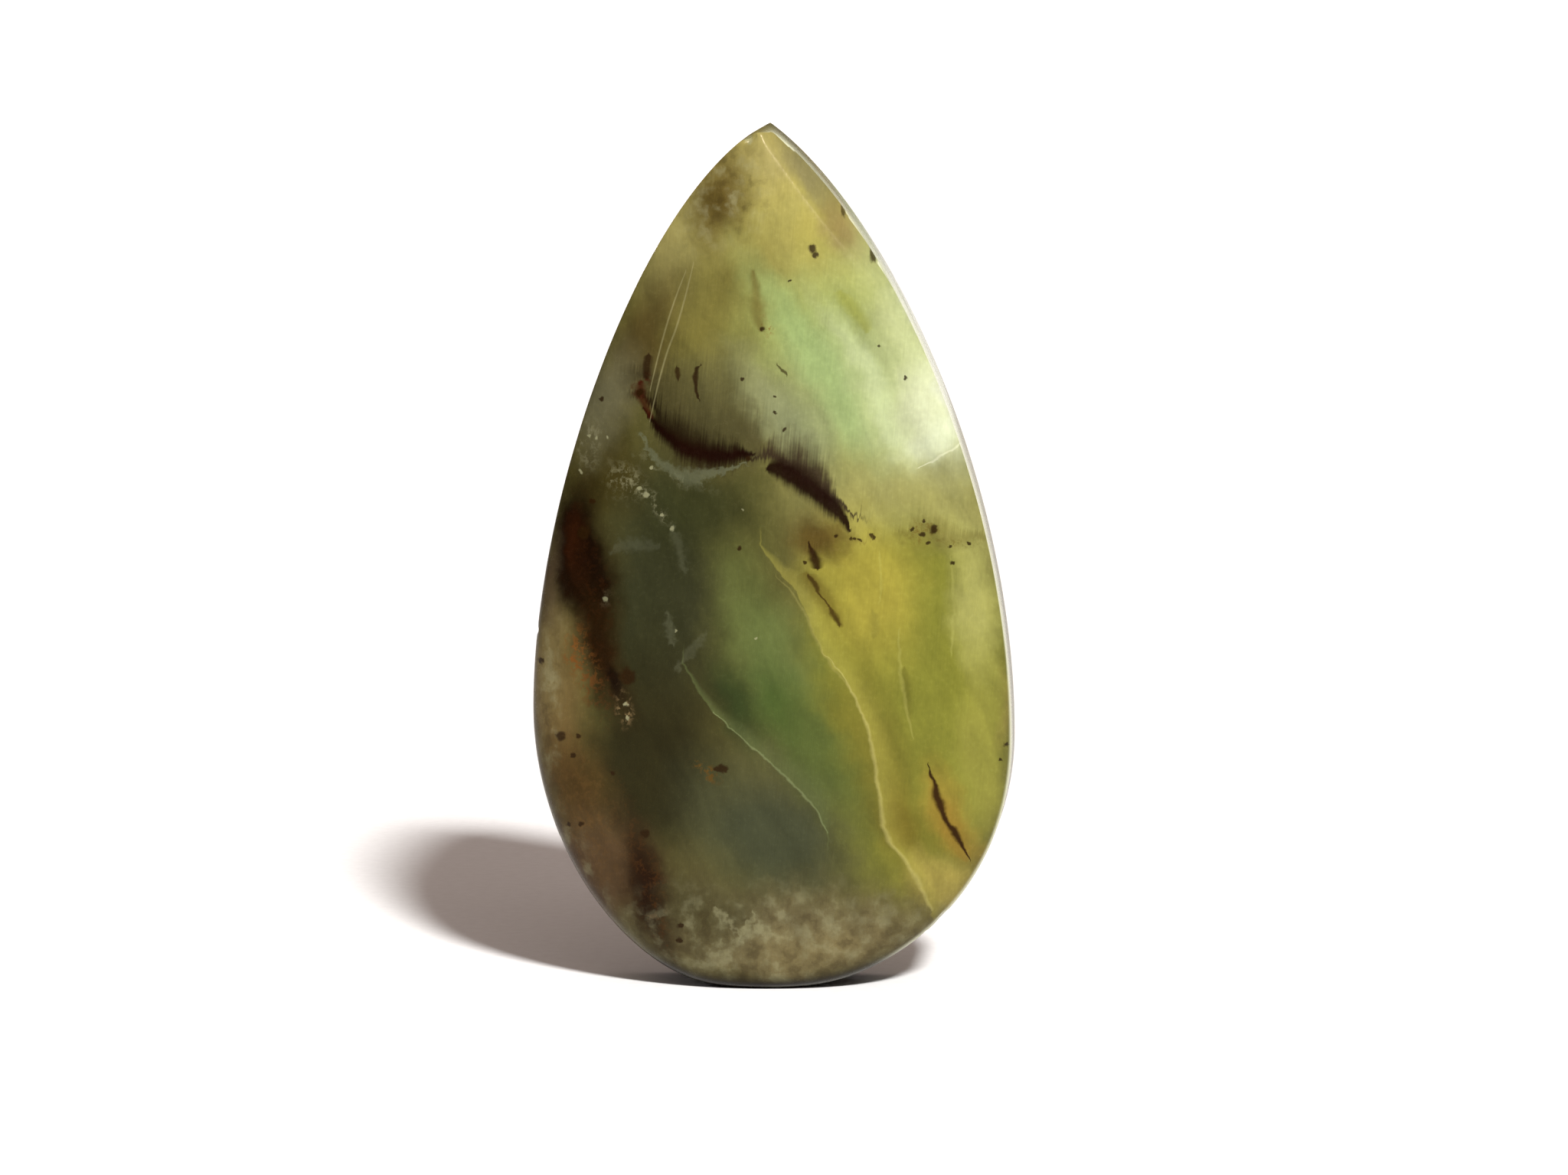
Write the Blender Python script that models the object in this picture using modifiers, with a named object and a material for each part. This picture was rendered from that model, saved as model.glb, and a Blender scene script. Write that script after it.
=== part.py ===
"""Polished teardrop cabochon of Peruvian opal, standing on the small flat worn at its round end.

Metres, +Z up. The domed face looks along -Y, and the flat back along +Y. The origin is on the
foot flat, at the middle of the stone's width and of its thickness.
"""

import math

import bmesh
import bpy
from mathutils import Matrix, Vector
from mathutils.geometry import interpolate_bezier

MM = 0.001

# Driving dimensions, in millimetres
HEIGHT = 45.0           # foot flat to tip
WIDTH = 25.0
THICKNESS = 8.0         # flat back to the crown of the dome
DOME_RISE = 3.0         # crown above the front edge of the girdle wall
GIRDLE_TAPER = 0.002    # share by which the wall narrows from the back to the dome
BACK_BEVEL = 0.4
FOOT_DEPTH = 0.5        # what the foot flat takes off the round end

# Outline, as four curved stretches between the tip, the two widest points and the round end.
# Each handle is how far the curve's tangent handle reaches from its point.
TIP_X = -0.4
TIP_HANDLE_LEFT = (-6.4, -3.6)
TIP_HANDLE_RIGHT = (6.5, -4.8)
LEFT_WIDEST_Z = 14.6
LEFT_HANDLE_UP = 10.9
LEFT_HANDLE_DOWN = 7.5
RIGHT_WIDEST_Z = 12.9
RIGHT_HANDLE_UP = 12.9
RIGHT_HANDLE_DOWN = 8.7
BOTTOM_X = -0.7
BOTTOM_HANDLE_LEFT = 6.6
BOTTOM_HANDLE_RIGHT = 5.8
LONG_SIDE_POINTS = 30   # points from the tip to a widest point
ROUND_END_POINTS = 18   # points from a widest point to the round end

# Dome: rings that shrink from the outline towards an egg around the crown
CROWN_X = -0.8
CROWN_Z = 15.5
EGG_HALF_WIDTH = 11.6
EGG_REACH_UP = 24.5
EGG_REACH_DOWN = 15.2
EGG_SOFTENING = 6       # power by which a ring changes from the outline to the egg
DOME_RINGS = 22
FULLNESS = 0.62         # 0.5 meets the wall without an edge, 1.0 with a crisp one
FULLNESS_CHANGE = 0.16  # more at the tip, where the edge is crisp, and less at the round end
SHOULDER = 2.0          # 1 is a dome that falls away all over, 3 a flatter one with full shoulders
SHOULDER_CHANGE = 1.0   # less at the tip, and more at the round end

# Facet ground on the right shoulder, just below the tip
FACET_POINT = (-0.2, -1.03, 44.2)
FACET_NORMAL = (0.47, -0.79, 0.40)

# Flat that wear has left on the tip, lower at the dome than at the back
TIP_WEAR_POINT = (0.0, 3.3, 45.0)
TIP_WEAR_NORMAL = (0.0, -0.10, 1.0)

CUTTER_SIZE = 40.0

STONE_COLOUR = (0.23, 0.24, 0.11, 1.0)
STONE_ROUGHNESS = 0.22


def remove_objects():
    """Start from an empty scene."""
    for old in list(bpy.data.objects):
        bpy.data.objects.remove(old, do_unlink=True)


def new_collection(name):
    collection = bpy.data.collections.new(name)
    bpy.context.scene.collection.children.link(collection)
    return collection


def stretch(start, start_handle, end_handle, end, count):
    """Points along one curved stretch of the outline, without its last one."""
    return interpolate_bezier(start, start + start_handle, end + end_handle, end, count + 1)[:-1]


def outline_points():
    """The teardrop outline as (x, z), clockwise from the tip as the dome is seen."""
    tip = Vector((TIP_X, HEIGHT))
    right = Vector((WIDTH / 2, RIGHT_WIDEST_Z))
    bottom = Vector((BOTTOM_X, -FOOT_DEPTH))
    left = Vector((-WIDTH / 2, LEFT_WIDEST_Z))
    return (
        stretch(tip, Vector(TIP_HANDLE_RIGHT), Vector((0, RIGHT_HANDLE_UP)), right, LONG_SIDE_POINTS)
        + stretch(right, Vector((0, -RIGHT_HANDLE_DOWN)), Vector((BOTTOM_HANDLE_RIGHT, 0)), bottom,
                  ROUND_END_POINTS)
        + stretch(bottom, Vector((-BOTTOM_HANDLE_LEFT, 0)), Vector((0, -LEFT_HANDLE_DOWN)), left,
                  ROUND_END_POINTS)
        + stretch(left, Vector((0, LEFT_HANDLE_UP)), Vector(TIP_HANDLE_LEFT), tip, LONG_SIDE_POINTS)
    )


def egg_radius(direction):
    """Distance from the crown to the egg that the innermost rings follow."""
    reach = EGG_REACH_UP if direction.y > 0 else EGG_REACH_DOWN
    return 1 / math.hypot(direction.x / EGG_HALF_WIDTH, direction.y / reach)


def dome_point(outline_point, climb):
    """A point on the dome, at an angle of climb from the girdle (0) to the crown (a right angle)."""
    crown = Vector((CROWN_X, CROWN_Z))
    ray = outline_point - crown
    direction = ray.normalized()
    share = (1 - GIRDLE_TAPER) * math.cos(climb)
    likeness = share ** EGG_SOFTENING
    radius = share * (likeness * ray.length + (1 - likeness) * egg_radius(direction))
    fullness = FULLNESS + FULLNESS_CHANGE * direction.y
    shoulder = SHOULDER - SHOULDER_CHANGE * direction.y
    rise = DOME_RISE * (1 - math.cos(climb) ** (2 * shoulder)) ** fullness
    place = crown + direction * radius
    front_edge = DOME_RISE - THICKNESS / 2
    return Vector((place.x, front_edge - rise, place.y)) * MM


def add_ring(mesh, points):
    return [mesh.verts.new(point) for point in points]


def join_rings(mesh, outer, inner):
    """One band of quads between two rings with the same number of points."""
    for index, corner in enumerate(outer):
        following = (index + 1) % len(outer)
        mesh.faces.new((corner, outer[following], inner[following], inner[index]))


def build_stone(collection):
    """The whole stone as one loft: flat back, girdle wall, and dome up to the crown."""
    outline = outline_points()
    mesh = bmesh.new()
    back = add_ring(mesh, [Vector((p.x, THICKNESS / 2, p.y)) * MM for p in outline])
    mesh.faces.new(back)
    ring = add_ring(mesh, [dome_point(p, 0.0) for p in outline])
    join_rings(mesh, back, ring)
    for step in range(1, DOME_RINGS):
        climb = step / DOME_RINGS * math.pi / 2
        inner = add_ring(mesh, [dome_point(p, climb) for p in outline])
        join_rings(mesh, ring, inner)
        ring = inner
    crown = mesh.verts.new(dome_point(outline[0], math.pi / 2))
    for index, corner in enumerate(ring):
        mesh.faces.new((corner, ring[(index + 1) % len(ring)], crown))
    bmesh.ops.recalc_face_normals(mesh, faces=mesh.faces)

    weight = mesh.edges.layers.float.new("bevel_weight_edge")
    for index, corner in enumerate(back):
        edge = mesh.edges.get((corner, back[(index + 1) % len(back)]))
        edge[weight] = 1.0

    data = bpy.data.meshes.new("opal_cabochon")
    mesh.to_mesh(data)
    mesh.free()
    stone = bpy.data.objects.new("opal_cabochon", data)
    collection.objects.link(stone)

    bevel = stone.modifiers.new("back_bevel", "BEVEL")
    bevel.limit_method = "WEIGHT"
    bevel.width = BACK_BEVEL * MM
    bevel.segments = 2
    return stone


def guide(cutter, collection):
    """Keep a cutter out of the renders and show it as wire."""
    collection.objects.link(cutter)
    cutter.hide_render = True
    cutter.display_type = "WIRE"


def flat_cutter(name, point, normal, collection):
    """A box whose near face passes through point and looks back along -normal."""
    mesh = bmesh.new()
    bmesh.ops.create_cube(mesh, size=CUTTER_SIZE * MM)
    bmesh.ops.translate(mesh, verts=mesh.verts, vec=(0, 0, CUTTER_SIZE * MM / 2))
    data = bpy.data.meshes.new(name)
    mesh.to_mesh(data)
    mesh.free()
    cutter = bpy.data.objects.new(name, data)
    turn = Vector((0, 0, 1)).rotation_difference(Vector(normal).normalized())
    cutter.matrix_world = Matrix.LocRotScale(Vector(point) * MM, turn, None)
    guide(cutter, collection)
    return cutter


def cut(stone, cutter):
    boolean = stone.modifiers.new(cutter.name, "BOOLEAN")
    boolean.operation = "DIFFERENCE"
    boolean.object = cutter


def stone_material():
    material = bpy.data.materials.new("green_yellow_opal")
    material.use_nodes = True
    shader = material.node_tree.nodes["Principled BSDF"]
    shader.inputs["Base Color"].default_value = STONE_COLOUR
    shader.inputs["Roughness"].default_value = STONE_ROUGHNESS
    shader.inputs["Metallic"].default_value = 0.0
    return material


def main():
    remove_objects()
    stones = new_collection("opal")
    cutters = new_collection("cutters")

    stone = build_stone(stones)
    stone.data.materials.append(stone_material())
    cut(stone, flat_cutter("foot_flat", (0, 0, 0), (0, 0, -1), cutters))
    cut(stone, flat_cutter("shoulder_facet", FACET_POINT, FACET_NORMAL, cutters))
    cut(stone, flat_cutter("worn_tip", TIP_WEAR_POINT, TIP_WEAR_NORMAL, cutters))
    stone.data.shade_smooth()
    stone.data.set_sharp_from_angle(angle=math.radians(30))


main()
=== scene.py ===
"""Polished teardrop cabochon of green and yellow opal, standing tip up on white paper.

Metres, +Z up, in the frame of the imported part: the dome looks along -Y, the flat back along +Y,
and the origin is on the foot flat. Sizes are written in millimetres and turned into metres by MM.
"""

import math

import bpy
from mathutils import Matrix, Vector
from mathutils.geometry import interpolate_bezier


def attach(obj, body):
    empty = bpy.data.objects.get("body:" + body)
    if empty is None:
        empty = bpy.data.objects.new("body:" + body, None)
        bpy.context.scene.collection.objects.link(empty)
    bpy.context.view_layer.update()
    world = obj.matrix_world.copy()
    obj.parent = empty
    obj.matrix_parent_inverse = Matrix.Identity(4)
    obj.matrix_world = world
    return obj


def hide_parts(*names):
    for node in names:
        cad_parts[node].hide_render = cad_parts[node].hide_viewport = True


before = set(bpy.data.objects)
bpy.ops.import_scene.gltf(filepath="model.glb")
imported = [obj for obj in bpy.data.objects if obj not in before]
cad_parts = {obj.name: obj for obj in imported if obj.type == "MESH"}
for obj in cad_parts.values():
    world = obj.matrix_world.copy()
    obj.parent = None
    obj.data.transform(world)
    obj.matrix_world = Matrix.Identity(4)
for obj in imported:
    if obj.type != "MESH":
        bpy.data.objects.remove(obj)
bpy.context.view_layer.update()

# Camera. A telephoto view of the dome, from a little to the right of it and a little above, with
# the whole stone and the shadow at its left in the picture.
MM = 0.001
CAMERA_TURN = 3.9           # degrees to the right of the dome's own direction
CAMERA_HEIGHT = 5.1         # degrees above the paper
CAMERA_DISTANCE = 350.0
AIM = (0.57, 0.0, 20.85)    # the point in the middle of the picture
SENSOR_WIDTH = 36.0
LENS = 154.1
NEAREST_SEEN = 10.0


def bearing(turn, height):
    """Unit vector from the stone towards something seen at that turn and height, in degrees."""
    turn, height = math.radians(turn), math.radians(height)
    return Vector((math.sin(turn) * math.cos(height), -math.cos(turn) * math.cos(height),
                   math.sin(height)))


def aim_from(thing, target, direction, distance):
    """Put a camera or a lamp that far from target, looking back at it."""
    thing.location = (Vector(target) + direction * distance) * MM
    thing.rotation_euler = direction.to_track_quat("Z", "Y").to_euler()
    bpy.context.scene.collection.objects.link(thing)


camera = bpy.data.objects.new("camera", bpy.data.cameras.new("camera"))
camera.data.sensor_width = SENSOR_WIDTH
camera.data.lens = LENS
camera.data.clip_start = NEAREST_SEEN * MM
aim_from(camera, AIM, bearing(CAMERA_TURN, CAMERA_HEIGHT), CAMERA_DISTANCE)
bpy.context.scene.camera = camera
bpy.context.scene.view_settings.view_transform = "Standard"

# White paper. One large sheet of uncoated paper that lies flat under the stone and curves up far
# behind it, matt, with a faint grain that only shows in the shadow.
PAPER_HALF_WIDTH = 2500.0
PAPER_FRONT = -2000.0
PAPER_CURVE_START = 1200.0
PAPER_CURVE_RADIUS = 1500.0
PAPER_CURVE_ANGLE = 27      # degrees that the sheet has turned up at its far end
PAPER_CURVE_STEP = 3
PAPER_WHITE = (0.88, 0.87, 0.86, 1)
PAPER_FIBRE = (0.78, 0.765, 0.75, 1)
PAPER_ROUGHNESS = 0.9
GRAIN_PER_MM = 1.6
GRAIN_DETAIL = 4.0

profile = [(PAPER_FRONT, 0.0)]
for degrees in range(0, PAPER_CURVE_ANGLE + 1, PAPER_CURVE_STEP):
    turn = math.radians(degrees)
    profile.append((PAPER_CURVE_START + PAPER_CURVE_RADIUS * math.sin(turn),
                    PAPER_CURVE_RADIUS * (1 - math.cos(turn))))
corners = [Vector((x, y, z)) * MM for y, z in profile
           for x in (-PAPER_HALF_WIDTH, PAPER_HALF_WIDTH)]
strips = [(start, start + 1, start + 3, start + 2) for start in range(0, len(corners) - 2, 2)]
paper_mesh = bpy.data.meshes.new("paper")
paper_mesh.from_pydata(corners, [], strips)
paper_mesh.shade_smooth()
paper = bpy.data.objects.new("paper", paper_mesh)
bpy.context.scene.collection.objects.link(paper)

paper_finish = bpy.data.materials.new("white_paper")
paper_finish.use_nodes = True
nodes, links = paper_finish.node_tree.nodes, paper_finish.node_tree.links
shader = nodes["Principled BSDF"]
shader.inputs["Roughness"].default_value = PAPER_ROUGHNESS
shader.inputs["Specular IOR Level"].default_value = 0.0
ground = nodes.new("ShaderNodeTexCoord")
grain = nodes.new("ShaderNodeTexNoise")
grain.inputs["Scale"].default_value = GRAIN_PER_MM / MM
grain.inputs["Detail"].default_value = GRAIN_DETAIL
fibre = nodes.new("ShaderNodeMix")
fibre.data_type = "RGBA"
fibre.inputs[6].default_value = PAPER_WHITE
fibre.inputs[7].default_value = PAPER_FIBRE
links.new(ground.outputs["Object"], grain.inputs["Vector"])
links.new(grain.outputs[0], fibre.inputs[0])
links.new(fibre.outputs[2], shader.inputs["Base Color"])
paper_mesh.materials.append(paper_finish)

# Studio light. A soft lamp in front, to the right and above, shines through a wide white wall and
# throws the shadow to the left. It is far away, so the paper is equally bright all over. A weak
# one behind lights the flat back, and the dim warm ceiling fills the shadows.
KEY_DIRECTION = Vector((0.54, -1.40, 1.0)).normalized()
KEY_STRENGTH = 6.0
KEY_WIDTH = 6.0             # degrees of sky that the lamp fills, which softens the shadow's edge
GLOW_STRENGTH = 0.45        # from the wide white wall that the lamp shines through
GLOW_WIDTH = 50.0
WARM = (1.0, 0.86, 0.78)
BACK_DIRECTION = Vector((-0.45, 1.0, 0.16)).normalized()
BACK_STRENGTH = 0.5
BACK_WIDTH = 5.0
LAMP_HEIGHT_ON_STONE = 20.0
LAMP_DISTANCE = 300.0
ROOM_COLOUR = (1.0, 0.80, 0.72, 1)
ROOM_LIGHT = 0.44           # from the ceiling
ROOM_DARK = 0.01            # from the walls


def far_lamp(name, direction, strength, width, colour=(1.0, 1.0, 1.0)):
    """A lamp so far away that its light is the same all over, and that fills so much sky."""
    data = bpy.data.lights.new(name, "SUN")
    data.color = colour
    data.energy = strength
    data.angle = math.radians(width)
    aim_from(bpy.data.objects.new(name, data), (0, 0, LAMP_HEIGHT_ON_STONE), direction,
             LAMP_DISTANCE)


far_lamp("key_lamp", KEY_DIRECTION, KEY_STRENGTH, KEY_WIDTH)
far_lamp("glow_lamp", KEY_DIRECTION, GLOW_STRENGTH, GLOW_WIDTH, WARM)
far_lamp("back_lamp", BACK_DIRECTION, BACK_STRENGTH, BACK_WIDTH)

room = bpy.data.worlds.new("room")
room.use_nodes = True
nodes, links = room.node_tree.nodes, room.node_tree.links
nodes["Background"].inputs["Color"].default_value = ROOM_COLOUR
way = nodes.new("ShaderNodeTexCoord")
directions = nodes.new("ShaderNodeSeparateXYZ")
falloff = nodes.new("ShaderNodeMapRange")
falloff.interpolation_type = "SMOOTHSTEP"   # from the walls to straight overhead
for name, value in (("From Min", 0.25), ("From Max", 1.0), ("To Min", ROOM_DARK),
                    ("To Max", ROOM_LIGHT)):
    falloff.inputs[name].default_value = value
links.new(way.outputs["Generated"], directions.inputs[0])
links.new(directions.outputs["Z"], falloff.inputs["Value"])
links.new(falloff.outputs[0], nodes["Background"].inputs["Strength"])
bpy.context.scene.world = room

# The opal. One solid piece of translucent stone, sawn flat at the back, ground to a teardrop with
# a straight edge all round and polished into a low dome, with a facet left on the right shoulder.
HEIGHT = 45.0
WIDTH = 25.0
THICKNESS = 8.0
FOOT_DEPTH = 0.5            # what the foot flat takes off the round end
TIP_X = -0.4
BOTTOM_X = -0.7
LEFT_WIDEST_Z = 14.6
RIGHT_WIDEST_Z = 12.9
LONG_SIDE_POINTS = 170
ROUND_END_POINTS = 110


def stretch(start, start_handle, end_handle, end, count):
    """Points along one curved stretch of the outline, without its last one."""
    start, end = Vector(start), Vector(end)
    return interpolate_bezier(start, start + Vector(start_handle), end + Vector(end_handle), end,
                              count + 1)[:-1]


tip = (TIP_X, HEIGHT)
right = (WIDTH / 2, RIGHT_WIDEST_Z)
bottom = (BOTTOM_X, -FOOT_DEPTH)
left = (-WIDTH / 2, LEFT_WIDEST_Z)
outline = (stretch(tip, (6.5, -4.8), (0, 12.9), right, LONG_SIDE_POINTS)
           + stretch(right, (0, -8.7), (5.8, 0), bottom, ROUND_END_POINTS)
           + stretch(bottom, (-6.6, 0), (0, -7.5), left, ROUND_END_POINTS)
           + stretch(left, (0, 10.9), (-6.4, -3.6), tip, LONG_SIDE_POINTS))


class Wire:
    """A number or vector on its way through a node tree, so that a rule reads as arithmetic."""

    def __init__(self, socket):
        self.socket = socket

    def __add__(self, other):
        return number("ADD", self, other)

    def __sub__(self, other):
        return number("SUBTRACT", self, other)

    def __rsub__(self, other):
        return number("SUBTRACT", other, self)

    def __mul__(self, other):
        return number("MULTIPLY", self, other)

    def __truediv__(self, other):
        return number("DIVIDE", self, other)

    def __rtruediv__(self, other):
        return number("DIVIDE", other, self)

    def __pow__(self, other):
        return number("POWER", self, other)

    __radd__ = __add__
    __rmul__ = __mul__


def add_node(tree, kind, inputs=None, **settings):
    """A node with its settings made and its inputs linked or set."""
    node = tree.nodes.new(kind)
    for name, value in settings.items():
        setattr(node, name, value)
    for name, value in (inputs or {}).items():
        if isinstance(value, Wire):
            tree.links.new(value.socket, node.inputs[name])
        else:
            node.inputs[name].default_value = value
    return node


def output_of(node, name=0):
    return Wire(node.outputs[name])


def tree_of(values):
    return next(value.socket.id_data for value in values if isinstance(value, Wire))


def number(operation, *values):
    return output_of(add_node(tree_of(values), "ShaderNodeMath", dict(enumerate(values)),
                              operation=operation))


def vector(operation, *values):
    inputs = {"Scale" if operation == "SCALE" and place else place: value
              for place, value in enumerate(values)}
    node = add_node(tree_of(values), "ShaderNodeVectorMath", inputs, operation=operation)
    measures = ("DOT_PRODUCT", "LENGTH", "DISTANCE")
    return output_of(node, "Value" if operation in measures else "Vector")


def combined(x, y, z):
    return output_of(add_node(tree_of((x, y, z)), "ShaderNodeCombineXYZ", {0: x, 1: y, 2: z}))


def parts_of(value):
    node = add_node(tree_of((value,)), "ShaderNodeSeparateXYZ", {0: value})
    return [Wire(output) for output in node.outputs]


def clamped(value):
    return output_of(add_node(tree_of((value,)), "ShaderNodeClamp", {"Value": value}))


def mixed(start, end, share):
    return start + (end - start) * share


def fading(value, full, nothing):
    """1 on full's side and 0 on nothing's side, with a smooth step from one to the other."""
    return output_of(add_node(tree_of((value,)), "ShaderNodeMapRange", clamp=False,
                              interpolation_type="SMOOTHSTEP",
                              inputs={"Value": value, "From Min": nothing, "From Max": full}))


def noise(place, scale, detail=2.0, as_vector=False):
    node = add_node(tree_of((place,)), "ShaderNodeTexNoise",
                    {"Vector": place, "Scale": scale, "Detail": detail})
    return output_of(node, 1 if as_vector else 0)


# The stone's form, as a rule: rings that run from the middle of the back over its bevel, up the
# wall and over the dome, and shrink from the outline towards an egg around the crown.
FORM_SIZES = {
    "Thickness": THICKNESS,
    "Dome Rise": 3.0,           # crown above the front edge of the wall
    "Wall Taper": 0.002,        # share by which the wall narrows from the back to the dome
    "Back Bevel": 0.4,
    "Crown X": -0.8,
    "Crown Z": 15.5,
    "Egg Half Width": 11.6,
    "Egg Reach Up": 24.5,
    "Egg Reach Down": 15.2,
    "Egg Softening": 6.0,       # power by which a ring changes from the outline to the egg
    "Fullness": 0.62,           # 0.5 meets the wall without an edge, 1.0 with a crisp one
    "Fullness Change": 0.16,    # more at the tip, and less at the round end
    "Shoulder": 2.0,            # 1 falls away all over, 3 is flatter with full shoulders
    "Shoulder Change": 1.0,     # less at the tip, and more at the round end
    "Waviness": 0.05,           # how far hand polishing leaves the dome from its true form
}
FRONT_EDGE = -1.0           # where the wall meets the dome
BACK_RINGS = 8
BEVEL_RINGS = 4
WALL_RINGS = 16
DOME_RINGS = 128
RINGS = BACK_RINGS + BEVEL_RINGS + WALL_RINGS + DOME_RINGS + 1
# Faces that were ground or worn flat, each as a point on it, the way that it faces, and how far
# its edge is rounded over. The foot's edge is the most worn, so the foot's point lies a little
# lower to keep its flat at the height of the paper.
GROUND_FLAT = {
    "foot": ((0, 0, -0.12), (0, 0, -1), 0.5),
    "shoulder facet": ((-0.2, -1.03, 44.2), (0.47, -0.79, 0.40), 0.05),
    "worn tip": ((0, 3.3, 45.0), (0, -0.10, 1), 0.08),
}
CRISP_BEND = 0.45           # how far, in radians, two faces bend where an edge still looks crisp
SWELLS_PER_MM = 0.16
CRUMBS_PER_MM = 5.0         # how finely the rim of a bite crumbles
CRUMBLING = 0.5             # and how far
WELD = 0.0005
# Small bites that wear has left along the dome's edge, as (x, z, how wide, how deep)
BITES = (
    (-1.15, 44.3, 0.5, 0.16), (0.95, 43.6, 0.35, 0.1), (1.6, 42.7, 0.3, 0.08),
    (5.5, 38.0, 0.35, 0.1), (8.8, 3.9, 0.6, 0.25), (7.9, 3.1, 0.4, 0.12), (10.9, 7.0, 0.3, 0.08),
    (-9.6, 28.9, 0.35, 0.08), (-12.2, 18.6, 0.35, 0.08), (-10.9, 7.6, 0.4, 0.1),
    (-8.3, 3.5, 0.4, 0.1),
)

form = bpy.data.node_groups.new("teardrop_cabochon", "GeometryNodeTree")
form.interface.new_socket("Outline", in_out="INPUT", socket_type="NodeSocketGeometry")
for name in FORM_SIZES:
    form.interface.new_socket(name, in_out="INPUT", socket_type="NodeSocketFloat")
form.interface.new_socket("Finish", in_out="INPUT", socket_type="NodeSocketMaterial")
form.interface.new_socket("Stone", in_out="OUTPUT", socket_type="NodeSocketGeometry")
given = {output.name: Wire(output) for output in form.nodes.new("NodeGroupInput").outputs}

# Which column and ring each point of the sheet is, and where its column meets the outline
index = output_of(add_node(form, "GeometryNodeInputIndex"))
position = output_of(add_node(form, "GeometryNodeInputPosition"))
column = number("FLOOR", (index + 0.5) / RINGS)
ring = index - column * RINGS
found = add_node(form, "GeometryNodeSampleIndex", data_type="FLOAT_VECTOR", domain="POINT",
                 inputs={"Geometry": given["Outline"], "Value": position,
                         "Index": number("MODULO", column, len(outline))})
crown = combined(given["Crown X"], 0.0, given["Crown Z"])
ray = vector("SUBTRACT", output_of(found), crown)
direction = vector("NORMALIZE", ray)
across, _, upward = parts_of(direction)

# How far along the back, the bevel, the wall and the dome each ring is
wall_start = BACK_RINGS + BEVEL_RINGS
dome_start = wall_start + WALL_RINGS
back_share = clamped(ring / BACK_RINGS)
bevel_turn = clamped((ring - BACK_RINGS) / BEVEL_RINGS) * (math.pi / 2)
wall_share = clamped((ring - wall_start) / WALL_RINGS)
climb = clamped((ring - dome_start) / DOME_RINGS) * (math.pi / 2)

share = number("COSINE", climb)
reach = mixed(given["Egg Reach Down"], given["Egg Reach Up"],
              number("GREATER_THAN", upward, 0.0))
egg = 1.0 / number("SQRT", (across / given["Egg Half Width"]) ** 2.0 + (upward / reach) ** 2.0)
inset = given["Back Bevel"] * (1.0 - number("SINE", bevel_turn))
radius = mixed(egg, (vector("LENGTH", ray) - inset) * back_share, share ** given["Egg Softening"])
radius = radius * share * (1.0 - given["Wall Taper"] * wall_share)
fullness = given["Fullness"] + given["Fullness Change"] * upward
shoulder = given["Shoulder"] - given["Shoulder Change"] * upward
rise = given["Dome Rise"] * (1.0 - share ** (2.0 * shoulder)) ** fullness
wall_height = given["Thickness"] - given["Back Bevel"] - given["Dome Rise"]
from_back = given["Back Bevel"] * (1.0 - number("COSINE", bevel_turn)) + wall_share * wall_height
depth = given["Thickness"] * 0.5 - from_back - rise
place = vector("ADD", crown, vector("SCALE", direction, radius))
place = vector("ADD", place, combined(0.0, depth, 0.0))

for point, facing, rounding in GROUND_FLAT.values():
    facing = tuple(Vector(facing).normalized())
    over = vector("DOT_PRODUCT", vector("SUBTRACT", place, point), facing)
    over = (over + number("SQRT", over ** 2.0 + rounding ** 2.0)) * 0.5
    cut = vector("SCALE", facing, over)
    place = vector("SUBTRACT", place, cut)

sheet = add_node(form, "GeometryNodeMeshGrid",
                 {"Vertices X": len(outline) + 1, "Vertices Y": RINGS})
sheet = add_node(form, "GeometryNodeSetPosition",
                 {"Geometry": output_of(sheet), "Position": place})
closed = add_node(form, "GeometryNodeMergeByDistance",
                  {"Geometry": output_of(sheet), "Distance": WELD})
closed = add_node(form, "GeometryNodeFlipFaces", {"Mesh": output_of(closed)})

# Hand polishing leaves the dome slightly wavy, and wear leaves small bites along its edge
normal = output_of(add_node(form, "GeometryNodeInputNormal"))
_, towards_back, _ = parts_of(position)
on_dome = clamped(0.5 - towards_back)
swell = noise(position, SWELLS_PER_MM) - 0.5
offset = given["Waviness"] * swell * on_dome
for x, z, wide, deep in BITES:
    away = vector("DISTANCE", position, (x, FRONT_EDGE, z))
    away = away + (noise(position, CRUMBS_PER_MM) - 0.5) * CRUMBLING
    offset = offset - fading(away, 0.0, wide) * deep
worn = add_node(form, "GeometryNodeSetPosition",
                {"Geometry": output_of(closed), "Offset": vector("SCALE", normal, offset)})
sized = add_node(form, "GeometryNodeTransform",
                 {"Geometry": output_of(worn), "Scale": (MM, MM, MM)})
bend = output_of(add_node(form, "GeometryNodeInputMeshEdgeAngle"))
smooth = add_node(form, "GeometryNodeSetShadeSmooth", {"Geometry": output_of(sized)})
crisp = add_node(form, "GeometryNodeSetShadeSmooth", domain="EDGE",
                 inputs={"Geometry": output_of(smooth), "Shade Smooth": False,
                         "Selection": number("GREATER_THAN", bend, CRISP_BEND)})
real = add_node(form, "GeometryNodeRealizeInstances", {"Geometry": output_of(crisp)})
finished = add_node(form, "GeometryNodeSetMaterial",
                    {"Geometry": output_of(real), "Material": given["Finish"]})
add_node(form, "NodeGroupOutput", {0: output_of(finished)})


# The opal's look. Everything inside the stone is placed as (x, z) in millimetres on the dome, and
# slopes sideways as it goes through to the back.
LIGHT_ON_DOME = 2.3         # how bright white would look on the dome, next to white on the screen
GROUND_COLOUR = (112, 106, 56)
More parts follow.
